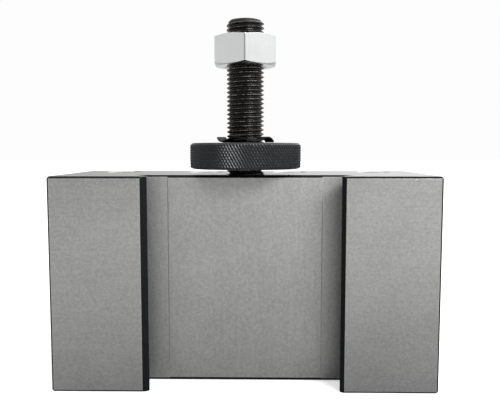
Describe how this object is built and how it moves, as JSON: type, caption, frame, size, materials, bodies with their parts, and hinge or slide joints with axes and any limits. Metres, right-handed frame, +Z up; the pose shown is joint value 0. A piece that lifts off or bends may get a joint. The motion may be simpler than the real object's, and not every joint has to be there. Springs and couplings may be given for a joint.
{
  "type": "quick change tool holder",
  "caption": "Dovetail tool holder block for a lathe's quick change tool post, with a knurled height nut on a threaded stud, a hexagon jam nut and socket screws that clamp a tool in its slot.",
  "frame": {"origin": "under the middle of the block, on the surface it stands on", "axes": "+Z up along the height stud, +X along the block's length, and the dovetail side faces -Y, so +Y points to the tool slot"},
  "size_m": [0.108, 0.0476, 0.1048],
  "materials": {
    "ground_steel": "fine surface-ground steel with black oxide left in the chamfers, slots and holes",
    "black_oxide": "satin black oxide with a thin film of oil",
    "black_knurl": "black oxide over a fine diamond knurl, bright on its crests",
    "zinc_plate": "clear zinc plate, soft bright satin"
  },
  "bodies": {
    "holder": {"holder_body": "ground_steel", "height_stud": "black_oxide"},
    "lock_washer": {"lock_washer": "black_oxide"},
    "height_nut": {"height_nut": "black_knurl"},
    "jam_nut": {"jam_nut": "zinc_plate"},
    "clamp_screw_1": {"clamp_screw_1": "black_oxide"},
    "clamp_screw_2": {"clamp_screw_2": "black_oxide"},
    "clamp_screw_3": {"clamp_screw_3": "black_oxide"},
    "clamp_screw_4": {"clamp_screw_4": "black_oxide"}
  },
  "joints": [
    {"name": "height_nut_climb", "type": "slide", "parent": "holder", "child": "lock_washer", "axis": [0, 0, 1], "range_m": [-0.00127, 0.01016]},
    {"name": "height_nut_spin", "type": "hinge", "parent": "lock_washer", "child": "height_nut", "pos_m": [0, -0.0073, 0.0658], "axis": [0, 0, 1], "range_deg": [-364, 2884]},
    {"name": "jam_nut_travel", "type": "slide", "parent": "holder", "child": "jam_nut", "axis": [0, 0, 1], "range_m": [-0.009, 0.0045]},
    {"name": "clamp_screw_1_travel", "type": "slide", "parent": "holder", "child": "clamp_screw_1", "axis": [0, 0, 1], "range_m": [-0.0133, 0.004]},
    {"name": "clamp_screw_2_travel", "type": "slide", "parent": "holder", "child": "clamp_screw_2", "axis": [0, 0, 1], "range_m": [-0.0133, 0.004]},
    {"name": "clamp_screw_3_travel", "type": "slide", "parent": "holder", "child": "clamp_screw_3", "axis": [0, 0, 1], "range_m": [-0.0133, 0.004]},
    {"name": "clamp_screw_4_travel", "type": "slide", "parent": "holder", "child": "clamp_screw_4", "axis": [0, 0, 1], "range_m": [-0.0133, 0.004]}
  ],
  "couplings": [
    {"joint": "height_nut_spin", "follows": "height_nut_climb", "rad_per_m": 4947.4}
  ]
}
